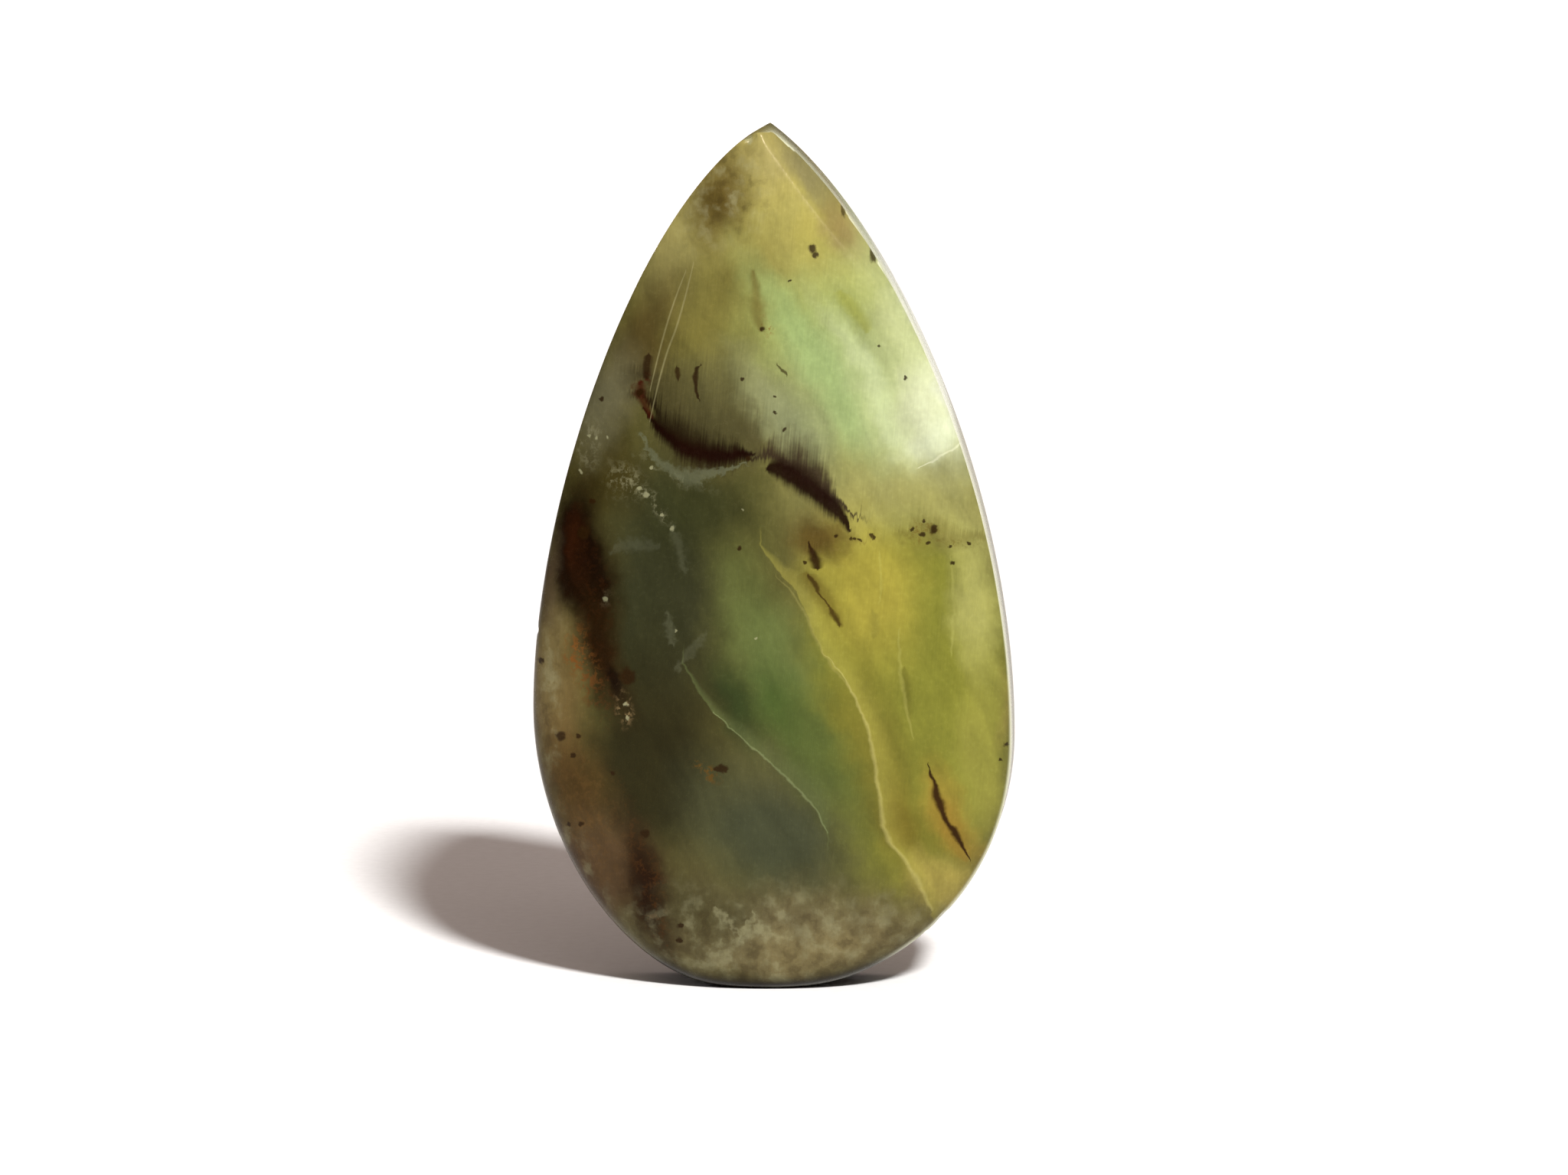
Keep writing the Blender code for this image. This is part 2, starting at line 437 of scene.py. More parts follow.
# Soft patches of colour laid over each other, each as (x, z, half width, half height, turn in
# degrees, softness, share, colour). Colours are as the eye sees them, from 0 to 255.
PATCHES = (
    # Olive and tan towards the tip, paler in the middle
    (-0.5, 41.0, 6.0, 6.0, 0, 0.5, 1.0, (182, 168, 96)),
    (-3.9, 37.6, 2.2, 2.6, 0, 0.8, 0.8, (166, 158, 106)),
    (0.8, 38.6, 4.6, 3.4, 0, 0.7, 0.8, (182, 174, 92)),
    (-2.0, 35.0, 4.2, 4.0, 0, 0.7, 0.9, (126, 118, 56)),
    (-6.8, 33.4, 1.5, 4.0, 28, 0.7, 0.9, (86, 72, 36)),
    (-2.8, 41.2, 1.25, 2.2, 10, 0.8, 0.9, (92, 74, 30)),
    (0.0, 43.4, 1.4, 1.2, 0, 0.7, 0.5, (176, 166, 104)),
    # Painted shade: the shoulder facet is painted greyer than the dome beside it
    (2.3, 41.8, 0.6, 2.6, -32, 0.6, 0.8, (146, 138, 94)),
    (2.6, 39.4, 1.0, 1.2, 0, 0.8, 0.7, (192, 180, 88)),
    (4.1, 39.2, 0.7, 1.2, -32, 0.8, 0.7, (140, 108, 70)),
    # Mint and whitish green in the upper right, with a painted highlight and glow brightest along
    # the edge
    (3.4, 34.6, 4.4, 3.6, -30, 0.6, 0.95, (176, 184, 104)),
    (3.4, 32.0, 2.6, 4.6, -35, 0.7, 0.8, (164, 182, 112)),
    (5.8, 30.4, 4.4, 3.0, 40, 0.7, 0.9, (192, 204, 142)),
    # The palest of these, near white along the right edge, are painted highlight and glow over the
    # stone's mint
    (7.4, 33.4, 1.4, 4.6, -20, 0.9, 0.9, (208, 216, 158)),
    (8.7, 30.0, 1.8, 2.6, -15, 0.8, 0.9, (226, 232, 190)),
    (8.6, 33.4, 0.6, 5.0, -24, 0.9, 0.95, (252, 254, 238)),
    (-1.6, 30.6, 3.2, 2.2, 0, 0.8, 0.8, (140, 138, 84)),
    (1.9, 33.6, 0.9, 4.8, -34, 0.8, 0.55, (160, 186, 118)),
    (3.6, 30.2, 0.7, 3.6, -30, 0.9, 0.5, (158, 182, 114)),
    (1.0, 29.8, 0.9, 3.2, -42, 1.0, 0.55, (160, 168, 128)),
    (5.2, 31.6, 0.5, 4.2, -32, 0.9, 0.45, (216, 228, 176)),
    (5.0, 26.4, 0.7, 2.4, -30, 0.8, 0.6, (156, 160, 88)),
    (8.8, 29.0, 1.3, 0.8, -22, 0.6, 0.6, (230, 238, 200)),
    (9.3, 27.1, 1.2, 0.9, -18, 0.6, 0.5, (156, 154, 100)),
    # Olive under the crack, and the yellow field below its ragged upper edge
    (7.2, 25.0, 5.0, 2.4, 14, 0.9, 1.0, (172, 168, 100)),
    (12.0, 14.6, 0.4, 1.4, 0, 0.8, 0.6, (178, 132, 100)),
    (6.9, 15.0, 5.6, 9.4, 0, 0.25, 1.0, (138, 138, 54)),
    (4.9, 21.0, 2.4, 3.6, -10, 0.7, 0.9, (178, 166, 68)),
    (10.6, 20.4, 1.0, 3.6, -8, 0.8, 0.9, (182, 180, 102)),
    (2.7, 23.9, 1.4, 0.9, 25, 0.8, 0.85, (78, 54, 18)),
    (5.8, 11.6, 1.3, 5.0, -16, 0.8, 0.7, (130, 120, 46)),
    (6.9, 9.0, 1.2, 2.0, -30, 0.8, 0.8, (120, 106, 38)),
    (8.9, 5.6, 1.1, 1.9, -35, 0.7, 0.9, (184, 168, 84)),
    (10.9, 12.6, 1.2, 4.0, 0, 0.7, 0.6, (164, 160, 74)),
    (9.4, 9.2, 0.7, 2.4, -24, 0.9, 0.6, (180, 142, 58)),
    # Green in the middle, fading into dark grey green on the left
    (-1.6, 21.0, 2.6, 5.0, 0, 0.8, 0.9, (98, 98, 50)),
    (0.2, 17.0, 1.9, 4.6, -22, 0.8, 1.0, (108, 120, 64)),
    (-1.8, 15.0, 1.1, 2.4, -30, 0.8, 1.0, (60, 74, 36)),
    (1.2, 14.2, 1.2, 2.6, -30, 0.9, 0.9, (66, 90, 38)),
    (2.9, 12.0, 1.5, 3.2, -28, 0.8, 0.9, (94, 106, 52)),
    (-5.6, 20.6, 3.0, 7.6, 0, 0.5, 1.0, (60, 61, 37)),
    (-3.4, 25.2, 2.8, 2.2, -20, 0.8, 0.9, (58, 60, 32)),
    (-5.8, 11.8, 3.6, 5.6, 0, 0.6, 1.0, (48, 45, 22)),
    (0.2, 8.4, 4.2, 3.2, 35, 0.7, 1.0, (74, 78, 54)),
    (-8.6, 27.0, 2.2, 2.4, 0, 0.7, 0.95, (66, 58, 24)),
    (-8.6, 30.6, 1.5, 2.6, 20, 0.8, 0.9, (112, 108, 78)),
    # Rust and near black down the left side, tan below it
    (-9.8, 22.2, 1.8, 4.6, -6, 0.5, 1.0, (27, 14, 4)),
    (-10.0, 23.2, 0.5, 1.4, 0, 0.9, 0.6, (64, 30, 10)),
    (-8.6, 17.8, 1.1, 3.2, -20, 0.7, 1.0, (42, 26, 8)),
    (-7.8, 16.2, 0.4, 0.7, -10, 0.6, 0.9, (22, 10, 2)),
    (-11.8, 20.6, 0.7, 2.6, 8, 0.8, 0.9, (84, 68, 50)),
    (-11.2, 15.2, 1.7, 3.6, 0, 0.6, 1.0, (126, 106, 62)),
    (-10.0, 10.8, 1.8, 2.8, -10, 0.7, 0.9, (88, 64, 30)),
    (-8.8, 6.4, 2.6, 3.0, -35, 0.6, 1.0, (98, 76, 50)),
    # Mottled grey beige round the bottom, with a brown band at its left
    (0.8, 2.8, 8.4, 2.6, 0, 0.5, 1.0, (118, 108, 74)),
    (-2.6, 4.4, 2.0, 1.4, 0, 0.8, 0.7, (84, 80, 52)),
    (-6.3, 5.2, 0.9, 3.6, -12, 0.7, 1.0, (38, 18, 4)),
    (-3.8, 4.6, 1.6, 2.4, -10, 0.8, 0.8, (84, 78, 48)),
    (2.6, 2.2, 3.4, 1.2, -14, 0.8, 0.8, (142, 128, 86)),
    # Painted shade: a dark band along the bottom edge, just above the foot
    (-0.7, -0.3, 8.0, 0.9, 0, 0.7, 0.7, (52, 44, 30)),
    (-11.6, 17.0, 0.8, 2.6, 0, 0.8, 0.8, (138, 122, 78)),
)
# Veins, halos and cracks, each as (softness, share, upright, colour, points), and each point as
# (x, z, half width). An upright one runs up the stone, and any other across it.
HAZE = (
    # Brown haze above the dark arc and above the bar, darkest close to them
    (0.95, 0.75, False, (68, 60, 36), ((-6.9, 31.9, 0.4), (-5.6, 30.8, 1.5), (-3.8, 30.1, 2.2),
                                       (-1.8, 29.7, 2.0), (-0.4, 29.2, 0.8))),
    (0.95, 0.9, False, (32, 20, 8), ((-6.5, 30.6, 0.2), (-5.4, 29.5, 0.6), (-3.9, 28.8, 0.9),
                                      (-2.3, 28.4, 0.7), (-0.9, 28.2, 0.1))),
    (0.9, 0.95, False, (58, 44, 32), ((0.0, 28.3, 0.3), (1.0, 28.0, 0.8), (2.0, 27.4, 1.05),
                                      (3.0, 26.6, 1.0), (3.7, 25.8, 0.75), (4.4, 24.9, 0.1))),
    # Shadowed edge of the yellow field, along a row of specks
    (0.9, 0.4, False, (116, 98, 44), ((2.4, 24.0, 0.3), (3.6, 23.8, 0.5), (4.8, 23.8, 0.1))),
    (0.9, 0.4, False, (112, 98, 40), ((7.2, 23.9, 0.2), (8.2, 24.0, 0.8), (9.2, 23.7, 0.6),
                                      (10.8, 23.6, 0.2))),
)
VEINS = (
    # Dark commas and ovals above the arc, and an upright smear with red crumbs at its foot
    (0.6, 0.85, True, (44, 26, 10), ((-6.35, 33.1, 0.04), (-6.4, 32.6, 0.24),
                                     (-6.45, 31.9, 0.16))),
    (0.6, 0.85, True, (48, 30, 10), ((-4.75, 32.5, 0.03), (-4.75, 32.2, 0.13),
                                     (-4.7, 31.8, 0.04))),
    (0.6, 0.9, True, (44, 26, 10), ((-3.6, 32.6, 0.04), (-3.85, 32.1, 0.14), (-3.85, 31.6, 0.12),
                                    (-3.6, 30.8, 0.03))),
    (0.6, 0.8, True, (62, 48, 16), ((0.35, 32.6, 0.03), (0.6, 32.4, 0.08), (0.9, 32.1, 0.03))),
    (0.9, 0.6, True, (106, 88, 34), ((-0.9, 37.4, 0.1), (-0.7, 36.4, 0.25), (-0.6, 35.4, 0.35),
                                     (-0.4, 34.4, 0.15))),
    (0.9, 0.5, True, (168, 172, 62), ((3.6, 36.4, 0.1), (4.2, 35.6, 0.4), (4.8, 34.8, 0.3),
                                      (5.0, 34.3, 0.1))),
    # The dark arc with its red upper end, and the bar
    (0.85, 0.97, False, (28, 8, 2), ((-6.5, 30.3, 0.08), (-5.8, 29.4, 0.3), (-5.0, 28.7, 0.4),
                                     (-4.2, 28.2, 0.5), (-3.2, 27.95, 0.55), (-2.3, 27.9, 0.42),
                                     (-1.5, 28.05, 0.25), (-0.8, 28.1, 0.05))),
    (0.9, 0.85, True, (66, 24, 10), ((-6.75, 31.7, 0.08), (-6.7, 31.1, 0.28), (-6.45, 30.5, 0.2),
                                     (-6.2, 29.9, 0.1))),
    (0.6, 0.97, False, (28, 7, 2), ((-0.1, 27.3, 0.1), (0.35, 27.3, 0.46), (0.9, 27.1, 0.6),
                                    (1.6, 26.7, 0.66), (2.5, 26.05, 0.66), (3.3, 25.35, 0.56),
                                    (3.8, 24.75, 0.42), (4.15, 24.2, 0.08))),
    # Comma under the bar, and short smears in the yellow
    (0.7, 0.95, True, (44, 24, 6), ((2.1, 23.5, 0.05), (2.35, 22.9, 0.18), (2.5, 22.5, 0.3),
                                    (2.6, 22.1, 0.05))),
    (0.9, 0.4, True, (104, 98, 36), ((7.0, 17.0, 0.05), (7.2, 15.6, 0.2), (7.3, 14.2, 0.05))),
    (0.9, 0.3, True, (110, 106, 48), ((5.4, 20.0, 0.05), (5.5, 19.3, 0.25), (5.5, 18.6, 0.05))),
    # Streaks in the yellow field
    (0.95, 0.5, True, (104, 84, 28), ((2.0, 21.9, 0.1), (2.5, 21.2, 0.5), (3.0, 20.5, 0.5),
                                      (3.5, 19.7, 0.3), (3.8, 19.2, 0.1))),
    (0.7, 0.8, True, (62, 38, 10), ((2.1, 21.8, 0.04), (2.5, 21.2, 0.12), (2.7, 20.8, 0.06),
                                    (3.1, 20.3, 0.05), (3.4, 19.8, 0.16), (3.7, 19.2, 0.04))),
    (0.95, 0.3, True, (150, 108, 38), ((8.4, 11.4, 0.05), (8.7, 10.2, 0.3), (9.2, 9.0, 0.6),
                                       (9.7, 7.9, 0.5), (10.2, 6.9, 0.05))),
    (0.7, 0.95, True, (44, 18, 3), ((8.3, 12.0, 0.02), (8.6, 11.0, 0.1), (8.85, 10.0, 0.24),
                                    (9.1, 9.2, 0.15), (9.6, 8.4, 0.19), (10.0, 7.6, 0.1),
                                    (10.4, 6.9, 0.02))),
)
# Pale lines of the healed cracks, each as (softness, share, upright, colour, points)
CRACKS = (
    (0.9, 0.25, True, (190, 180, 104), ((0.4, 21.8, 0.02), (1.5, 20.6, 0.06), (2.8, 17.9, 0.08),
                                        (4.3, 15.9, 0.03))),
    (0.9, 0.45, True, (206, 196, 118), ((2.8, 17.9, 0.02), (4.3, 15.9, 0.06), (5.2, 13.8, 0.08),
                                        (5.7, 10.9, 0.09), (6.1, 8.5, 0.12), (7.4, 6.5, 0.12),
                                        (8.4, 4.3, 0.06))),
    (0.9, 0.55, True, (146, 156, 106), ((-2.8, 14.7, 0.03), (-0.9, 13.0, 0.06), (0.6, 11.7, 0.07),
                                        (1.7, 10.6, 0.07), (2.6, 9.5, 0.05), (3.1, 8.5, 0.03))),
    (0.8, 0.6, False, (244, 246, 206), ((7.7, 27.3, 0.02), (8.5, 27.7, 0.05), (9.2, 28.1, 0.06),
                                        (9.9, 28.6, 0.05))),
    (0.9, 0.3, True, (196, 192, 96), ((5.7, 23.0, 0.03), (5.8, 21.6, 0.06), (5.7, 20.4, 0.03))),
    (0.9, 0.3, True, (186, 184, 100), ((9.3, 22.7, 0.03), (9.5, 20.0, 0.07), (9.4, 17.6, 0.03))),
    (0.9, 0.4, True, (184, 180, 92), ((6.8, 19.0, 0.02), (6.8, 17.4, 0.07), (7.1, 15.2, 0.08),
                                      (7.5, 13.4, 0.03))),
)
# Pale crusts and wisps whose edges crumble, laid out in the same way
WISPS = (
    (0.6, 0.5, False, (118, 122, 94), ((-6.7, 29.0, 0.1), (-6.0, 27.9, 0.25), (-5.0, 27.2, 0.25),
                                       (-4.0, 26.8, 0.45), (-3.2, 27.0, 0.3), (-2.2, 27.2, 0.12),
                                       (-1.2, 27.6, 0.08))),
    (0.9, 0.3, True, (106, 108, 82), ((-5.0, 24.3, 0.1), (-4.6, 23.2, 0.25), (-4.3, 21.9, 0.1))),
    (0.9, 0.35, True, (108, 110, 84), ((-5.2, 19.9, 0.08), (-5.1, 19.0, 0.2), (-4.9, 18.1, 0.08))),
    (0.9, 0.3, True, (106, 108, 82), ((-3.3, 18.8, 0.08), (-3.9, 17.9, 0.25), (-4.7, 16.9, 0.1))),
    (0.9, 0.25, False, (104, 106, 84), ((-8.2, 22.9, 0.1), (-7.0, 23.3, 0.3), (-5.6, 23.2, 0.1))),
    (0.9, 0.35, True, (170, 166, 126), ((-2.7, 4.5, 0.05), (-2.2, 3.9, 0.2), (-1.7, 3.4, 0.12),
                                       (-1.4, 2.7, 0.05))),
    (0.9, 0.45, True, (160, 156, 116), ((-0.7, 4.3, 0.05), (-0.9, 3.8, 0.14), (-1.3, 3.3, 0.14),
                                        (-1.4, 3.0, 0.05))),
    (0.9, 0.4, True, (150, 142, 106), ((1.2, 3.6, 0.05), (1.8, 3.0, 0.2), (2.0, 2.2, 0.05))),
)
# Two long scratches in the polish, laid out in the same way
SCRATCHES = (
    (0.9, 0.35, True, (190, 182, 130), ((-4.0, 37.8, 0.02), (-4.8, 34.7, 0.045),
                                        (-5.4, 33.0, 0.045), (-6.2, 29.7, 0.02))),
    (0.9, 0.35, True, (190, 182, 130), ((-4.4, 37.4, 0.02), (-5.1, 35.5, 0.04),
                                        (-5.6, 33.8, 0.04), (-6.2, 31.3, 0.02))),
)
# The stone is brighter on the upper right side of each long crack, as (share, colour, points),
# and each point here is (x, z, how far the bright side reaches)
BRIGHT_SIDES = (
    (0.3, (206, 196, 92), ((-0.4, 23.4, 0.1), (0.2, 22.4, 0.8), (1.5, 20.9, 1.6),
                           (2.8, 17.9, 1.6), (4.3, 15.9, 1.4), (5.2, 13.8, 1.4), (5.7, 10.9, 1.4),
                           (6.1, 8.5, 1.2), (7.4, 6.5, 1.2), (8.4, 4.3, 0.8))),
    (0.45, (112, 124, 74), ((-4.4, 17.2, 0.1), (-2.8, 14.7, 0.9), (-0.9, 13.0, 1.8),
                           (0.6, 11.7, 2.0), (1.7, 10.6, 1.8), (2.6, 9.5, 1.0), (3.1, 8.3, 0.1))),
)
# Dark specks as (x, z, radius)
DARK = (46, 28, 8)
DARK_SPOTS = (
    (1.9, 22.5, 0.12), (3.5, 23.8, 0.1), (4.3, 23.7, 0.1), (4.5, 23.7, 0.11), (5.4, 23.7, 0.08),
    (4.75, 23.7, 0.1), (5.3, 23.8, 0.11), (8.5, 24.1, 0.24), (8.0, 24.6, 0.09), (7.9, 23.9, 0.15),
    (7.4, 24.2, 0.1), (8.2, 23.4, 0.12), (9.3, 23.3, 0.12), (10.3, 23.4, 0.1),
    (9.5, 22.4, 0.14), (-6.7, 31.1, 0.2), (0.3, 31.0, 0.09), (0.3, 30.2, 0.09), (0.8, 29.3, 0.1),
    (-1.4, 31.9, 0.08), (1.0, 36.9, 0.07), (5.6, 33.6, 0.08), (7.0, 31.9, 0.08),
    (-1.1, 27.9, 0.16), (-8.8, 30.8, 0.12), (2.15, 38.6, 0.2), (2.25, 38.3, 0.16),
    (3.9, 40.2, 0.2), (5.4, 38.1, 0.28), (-0.35, 34.5, 0.14), (-9.2, 25.5, 0.16),
    (-9.7, 23.9, 0.34),
    (-7.3, 16.5, 0.4), (-10.9, 13.3, 0.26), (-9.9, 13.3, 0.14), (-10.2, 12.3, 0.14),
    (-8.1, 11.5, 0.12), (-10.5, 8.7, 0.14), (-9.8, 8.7, 0.14), (-12.0, 17.1, 0.16),
    (-2.6, 11.75, 0.16), (-2.4, 11.75, 0.2), (-2.2, 11.75, 0.16), (-1.5, 23.2, 0.12),
    (12.2, 12.9, 0.12), (12.0, 12.1, 0.1), (-6.4, 8.3, 0.24), (-4.6, 3.5, 0.16),
    (-4.7, 2.7, 0.16),
)
# Crowds of rusty, brown and pale crumbs, laid as the patches are
CRUMBS = (
    (-9.2, 20.4, 1.0, 4.6, -10, 0.9, 0.35, (64, 34, 12)),
    (-9.7, 17.4, 0.6, 1.5, -22, 0.9, 1.0, (142, 90, 40)),
    (-9.0, 16.2, 0.6, 1.6, -20, 0.9, 0.5, (96, 62, 30)),
    (-7.4, 14.8, 0.4, 0.7, -10, 0.8, 0.8, (150, 126, 86)),
    (-8.6, 20.4, 0.3, 0.5, 0, 0.8, 0.5, (96, 90, 66)),
    (-6.7, 31.3, 0.3, 0.6, 20, 0.8, 0.9, (74, 30, 12)),
    (-0.4, 34.5, 0.3, 0.4, 0, 0.8, 1.0, (130, 70, 24)),
    (-3.2, 11.6, 0.6, 0.4, 30, 0.8, 0.9, (112, 78, 24)),
    (-6.0, 4.6, 0.5, 4.0, -12, 0.9, 0.45, (92, 56, 22)),
    (-9.6, 9.6, 1.6, 3.6, -15, 0.9, 0.35, (122, 90, 48)),
    (7.9, 23.9, 0.9, 0.7, 0, 0.8, 0.8, (116, 94, 34)),
    (9.8, 23.3, 0.9, 0.3, 15, 0.8, 0.6, (112, 96, 38)),
    (-7.2, 26.3, 1.0, 0.7, 40, 0.9, 0.85, (134, 130, 96)),
    (-5.9, 25.3, 1.1, 0.3, 46, 0.9, 0.75, (130, 128, 96)),
    (-4.6, 27.0, 1.6, 0.3, 20, 0.9, 0.5, (134, 134, 102)),
    (-9.6, 28.6, 0.9, 1.0, 0, 0.9, 0.5, (150, 146, 112)),
)
# Where the stone is mottled, as (x, z, half width, half height, turn, softness)
MOTTLED = (
    (0.6, 2.6, 8.6, 2.8, 0, 0.6),
    (-10.2, 6.0, 1.2, 5.0, -30, 0.7),
    (-11.6, 15.0, 0.7, 3.6, 0, 0.7),
    (-2.4, 41.6, 2.0, 2.6, 30, 0.8),
)
# White specks and crumbs, laid out as the dark ones are
PALE = (196, 194, 150)
PALE_SPOTS = (
    (-1.2, 44.2, 0.22), (-1.3, 25.2, 0.07), (-4.8, 18.9, 0.08), (-0.6, 18.6, 0.07),
    (-9.5, 28.8, 0.09), (-9.0, 28.8, 0.08), (-8.5, 28.8, 0.08), (-9.9, 27.0, 0.1),
    (-6.7, 26.2, 0.13), (-6.4, 25.9, 0.15), (-5.5, 24.9, 0.1), (-5.0, 24.2, 0.13),
    (-6.1, 27.3, 0.1), (-7.4, 15.1, 0.12), (-7.3, 14.4, 0.12), (-8.5, 20.5, 0.14),
)
# Colours that go on as the share of the light that they reflect
# Painted glow for the thin edge on the lamp's side
RIM_GLOW = (0.80, 0.82, 0.60, 1.0)
# Painted shade for the underside of the round end
UNDERSIDE_SHADE = (0.006, 0.004, 0.003, 1.0)
# How places wander, each as (wanders per mm, detail, how far in mm)
DRIFT = (0.22, 2.0, 2.4)
RAGGEDNESS = (1.3, 5.0, 0.9)
CRUMBLING_EDGES = (3.4, 3.0, 0.8)
# Streaks, each as (lean in degrees, how long one is along x, y and z)
SANDING = (5, (0.09, 1.0, 2.6))
SHEETS = (-26, (0.8, 3.0, 8.0))
LAPPING = (62, (0.12, 1.0, 4.0))
# Noises, each as (lumps per mm, detail)
GRAINS = (2.6, 4.0)
BLOTCHES = (1.1, 6.0)
CLOUD = (0.5, 3.5)
FINE_GRAIN = (4.0, 3.0)
# Finish of the surface
DOME_ROUGHNESS = 0.25
MORE_ON_THE_BACK = 0.35
LINE_DEPTH = 0.02
REFRACTION = 1.45
SHINE = 0.10
SHINE_COLOUR = (1.0, 0.82, 0.62, 1.0)
GLOW_SHARE = 0.08           # of the light that enters the stone and comes out close by
GLOW_REACH = 0.8
GLOW_REACH_BY_COLOUR = (1.0, 0.9, 0.4)


def seen(red, green, blue):
    """A colour as the eye sees it, from 0 to 255, as the share of the light that it reflects."""
    shares = [((part / 255 + 0.055) / 1.055) ** 2.4 / LIGHT_ON_DOME for part in (red, green, blue)]
    return (*shares, 1.0)


def stretched(place, middle, turn, scale):
    """Places read about a middle, with the axes turned clockwise as seen and made that long."""
    return output_of(add_node(tree_of((place,)), "ShaderNodeMapping", vector_type="TEXTURE",
                              inputs={"Vector": place, "Location": (middle[0], 0, middle[1]),
                                      "Rotation": (0, math.radians(turn), 0), "Scale": scale}))


THROUGH_THE_STONE = 1e6     # an oval is so long from front to back that it has no ends


def patch(place, x, z, half_width, half_height, turn, softness):
    """An oval seen from the front: 1 inside it and 0 outside."""
    room = 1 + softness
    inside = stretched(place, (x, z), turn,
                       (half_width * room, THROUGH_THE_STONE, half_height * room))
    ball = add_node(tree_of((place,)), "ShaderNodeTexGradient", {"Vector": inside},
                    gradient_type="SPHERICAL")
    return fading(output_of(ball, "Fac"), 2 * softness / room, 0.0)


def laid_over(under, colour, share):
    """One colour over another, by a share."""
    node = tree_of((share,)).nodes.new("ShaderNodeMix")
    node.data_type = "RGBA"
    for socket, value in zip((node.inputs[0], node.inputs[6], node.inputs[7]),
                             (share, under, colour)):
        if isinstance(value, Wire):
            socket.id_data.links.new(value.socket, socket)
        else:
            socket.default_value = value
    return Wire(node.outputs[2])


def curve_through(value, pairs):
    """A smooth curve through pairs of numbers from 0 to 1."""
    node = add_node(tree_of((value,)), "ShaderNodeFloatCurve", {"Value": value})
    points = node.mapping.curves[0].points
    while len(points) < len(pairs):
        points.new(0.5, 0.5)
    for point, pair in zip(points, sorted(pairs)):
        point.location = pair
    node.mapping.update()
    return output_of(node)


def across_line(place, points, upright):
    """How far a place is to the right of a line, or above one that isn't upright, then the line's
    half width there, and how far the place is past either end."""
    x, _, z = parts_of(place)
    along, off = (z, x) if upright else (x, z)
    way = [(point[1], point[0], point[2]) if upright else point for point in points]
    start, length = min(p[0] for p in way), max(p[0] for p in way) - min(p[0] for p in way)
    low, spread = min(p[1] for p in way), max(p[1] for p in way) - min(p[1] for p in way)
    widest = max(p[2] for p in way)
    share = clamped((along - start) / length)
    line = curve_through(share, [((p[0] - start) / length, (p[1] - low) / spread) for p in way])
    width = curve_through(share, [((p[0] - start) / length, p[2] / widest) for p in way])
    past_end = number("MAXIMUM", start - along, along - (start + length))
    return off - (line * spread + low), width * widest, past_end


SHORT_TAIL = 0.15           # how far past its ends a line fades away
LONG_TAIL = 1.2
THINNEST = 0.01


def stroke(place, points, softness, upright, tail=SHORT_TAIL):
    """A line of changing width through a few points: 1 on it and 0 beside it."""
    off, width, past_end = across_line(place, points, upright)
    beside = number("ABSOLUTE", off) / number("MAXIMUM", width, THINNEST)
    return fading(beside, 1 - softness, 1 + softness) * fading(past_end, 0.0, tail)


def all_of(shares):
    """The strongest of several shares."""
    strongest = shares[0]
    for share in shares[1:]:
        strongest = number("MAXIMUM", strongest, share)
    return strongest


SPECK_SOFTNESS = 0.35


def specks(place, spots):
    """Round specks that the warped place makes ragged: 1 on any of them."""
    flat = vector("MULTIPLY", place, (1, 0, 1))
    return all_of([fading(vector("DISTANCE", flat, (x, 0, z)), radius * (1 - SPECK_SOFTNESS),
                          radius * (1 + SPECK_SOFTNESS)) for x, z, radius in spots])


def wander(place, per_mm, detail, reach):
    """A push to one side or another, which changes smoothly from place to place."""
    centred = vector("SUBTRACT", noise(place, per_mm, detail, True), (0.5, 0.5, 0.5))
    return vector("SCALE", centred, reach)


def streaks(place, lean, lengths):
    """Parallel streaks, above and below 0 by turns."""
    return noise(stretched(place, (0, 0), lean, lengths), 1.0, 3.0) - 0.5


opal = bpy.data.materials.new("green_yellow_opal")
opal.use_nodes = True
tree = opal.node_tree
shader = tree.nodes["Principled BSDF"]
coordinates = add_node(tree, "ShaderNodeTexCoord")
place = vector("SCALE", output_of(coordinates, "Object"), 1 / MM)
across, depth, height = parts_of(place)
_, towards_back, upwards = parts_of(output_of(coordinates, "Normal"))
on_dome = fading(depth, -1.1, 0.6)  # what lies at the surface of the dome fades down the wall

# Behind the dome the zones slope away, so the back shows another cut through the same stone
behind = number("MAXIMUM", depth - FRONT_EDGE, 0.0)
sloped = vector("ADD", place, combined(behind * 0.5, 0.0, behind * -0.7))

# Nothing in the stone is drawn with a ruler: each place is read a little to one side of itself
drift = wander(sloped, *DRIFT)
ragged = wander(sloped, *RAGGEDNESS)
crumbs = wander(sloped, *CRUMBLING_EDGES)
flowing = vector("ADD", sloped, drift)
loose = vector("ADD", flowing, ragged)
close = vector("ADD", sloped, vector("SCALE", ragged, 0.45))
crumbly = vector("ADD", close, crumbs)
speckled = vector("ADD", close, vector("SCALE", crumbs, 0.4))

# Fine upright lines left by sanding, which also fray whatever lies just under the surface
sanding = streaks(place, *SANDING)
frayed = vector("ADD", loose, combined(0.0, 0.0, sanding * 1.2))
brushed = vector("ADD", close, combined(0.0, 0.0, sanding * 0.4))

body = seen(*GROUND_COLOUR)
for x, z, half_width, half_height, turn, softness, share, colour in PATCHES:
    oval = patch(loose, x, z, half_width, half_height, turn, softness) * share
    body = laid_over(body, seen(*colour), oval)
for softness, share, upright, colour, points in HAZE:
    line = stroke(frayed, points, softness, upright, LONG_TAIL)
    body = laid_over(body, seen(*colour), line * share)

# Rust, brown and pale crumbs come in crowds of fine grains
for x, z, half_width, half_height, turn, softness, share, colour in CRUMBS:
    grains = fading(noise(crumbly, *GRAINS), 0.66, 0.46)
    oval = patch(loose, x, z, half_width, half_height, turn, softness) * share
    body = laid_over(body, seen(*colour), oval * grains)

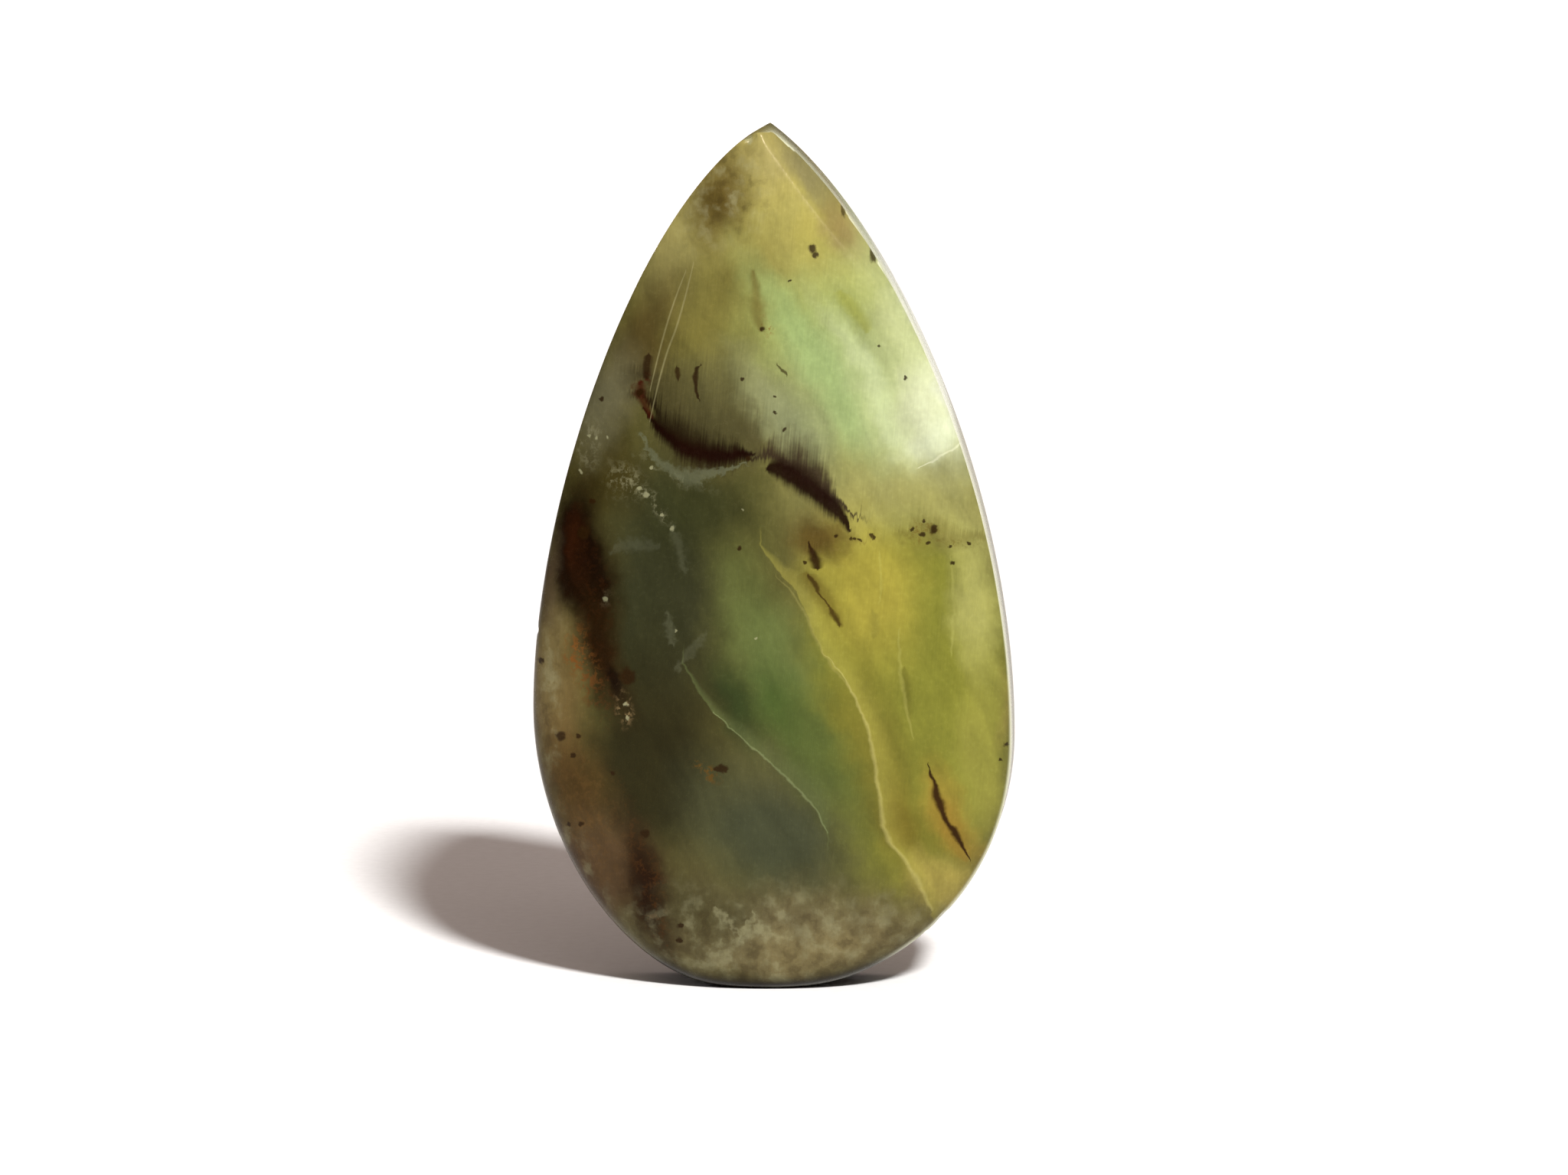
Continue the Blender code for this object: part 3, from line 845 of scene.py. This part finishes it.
# The round end and the left edge are mottled with pale and dark crumbs
mottled = all_of([patch(loose, *place_and_size) for place_and_size in MOTTLED])
blotches = noise(speckled, *BLOTCHES)
body = laid_over(body, seen(*PALE), fading(blotches, 0.7, 0.46) * mottled * 0.3)
body = laid_over(body, seen(*DARK), fading(blotches, 0.34, 0.48) * mottled * 0.35)

# What lies in the polished surface: brighter sides, veins, cracks, wisps, scratches and specks
for share, colour, points in BRIGHT_SIDES:
    off, reach, past_end = across_line(close, points, True)
    side = fading(off / number("MAXIMUM", reach, 0.05), 0.0, 1.0)
    side = side * fading(off, 0.05, -0.05) * fading(past_end, 0.0, LONG_TAIL)
    body = laid_over(body, seen(*colour), side * share * on_dome)
for softness, share, upright, colour, points in VEINS:
    line = stroke(close if upright else brushed, points, softness, upright)
    body = laid_over(body, seen(*colour), line * share * on_dome)
for lines, warped in ((CRACKS, close), (WISPS, crumbly), (SCRATCHES, place)):
    for softness, share, upright, colour, points in lines:
        line = stroke(warped, points, softness, upright)
        body = laid_over(body, seen(*colour), line * share * on_dome)
for spots, colour, share in ((DARK_SPOTS, DARK, 0.9), (PALE_SPOTS, PALE, 0.5)):
    body = laid_over(body, seen(*colour), specks(speckled, spots) * share * on_dome)

# Sheets in the stone that slope steeply down to the right, and cloud between them
sheets = streaks(flowing, *SHEETS)
cloud = noise(sloped, *CLOUD) - 0.5
grain = noise(place, *FINE_GRAIN) - 0.5
tone = 1.0 + sheets * 0.55 + cloud * 0.55 + grain * 0.2 + sanding * 0.2
body = vector("SCALE", body, tone)

# Painted glow: the thin edge lets light through on the lamp's side, so its colour is painted paler
# there, most at the dome
painted_rim_glow = fading(number("ABSOLUTE", towards_back), 0.3, 0.6) * fading(across, 0.4, -0.8)
glow_through_thin_edge = fading(depth + sheets * 2.0, -0.9, 2.2) * 0.45 + 0.05
body = laid_over(body, RIM_GLOW, painted_rim_glow * glow_through_thin_edge)

# Painted shade: the round end is painted dark where it turns under and faces down
painted_underside_shade = fading(upwards, -0.85, -0.5) * fading(height, 1.2, 2.6)
body = laid_over(body, UNDERSIDE_SHADE, painted_underside_shade * 0.9)

tree.links.new(body.socket, shader.inputs["Base Color"])

# The dome is polished, with the last sanding lines still in it. The back is matt, as the flat lap
# left it.
lapped = fading(depth, 3.9, 3.4)
roughness = DOME_ROUGHNESS + grain * 0.2 + lapped * MORE_ON_THE_BACK
tree.links.new(roughness.socket, shader.inputs["Roughness"])
lapping = streaks(place, *LAPPING)
relief = add_node(tree, "ShaderNodeBump", {
    "Height": sanding * 0.4 + grain * 0.4 + lapping * lapped * 1.5,
    "Strength": 0.6, "Distance": LINE_DEPTH * MM})
tree.links.new(relief.outputs["Normal"], shader.inputs["Normal"])
shader.inputs["IOR"].default_value = REFRACTION
shader.inputs["Specular IOR Level"].default_value = SHINE
shader.inputs["Specular Tint"].default_value = SHINE_COLOUR
shader.inputs["Subsurface Weight"].default_value = GLOW_SHARE
shader.inputs["Subsurface Radius"].default_value = GLOW_REACH_BY_COLOUR
shader.inputs["Subsurface Scale"].default_value = GLOW_REACH * MM

# The finished stone. The form is made from the outline, turned into a plain mesh, and stands for
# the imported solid.
blank = bpy.data.meshes.new("outline")
blank.from_pydata([(point.x, 0.0, point.y) for point in outline],
                  [(step, (step + 1) % len(outline)) for step in range(len(outline))], [])
blank = bpy.data.objects.new("outline", blank)
bpy.context.scene.collection.objects.link(blank)
grinding = blank.modifiers.new("teardrop_cabochon", "NODES")
grinding.node_group = form
sockets = {item.name: item.identifier for item in form.interface.items_tree}
for name, value in FORM_SIZES.items():
    grinding[sockets[name]] = value
grinding[sockets["Finish"]] = opal
evaluated = blank.evaluated_get(bpy.context.evaluated_depsgraph_get())
stone = bpy.data.objects.new("opal", bpy.data.meshes.new_from_object(evaluated))
bpy.data.objects.remove(blank, do_unlink=True)
bpy.context.scene.collection.objects.link(stone)

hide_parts("opal_cabochon")
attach(stone, "root")

bpy.context.view_layer.update()
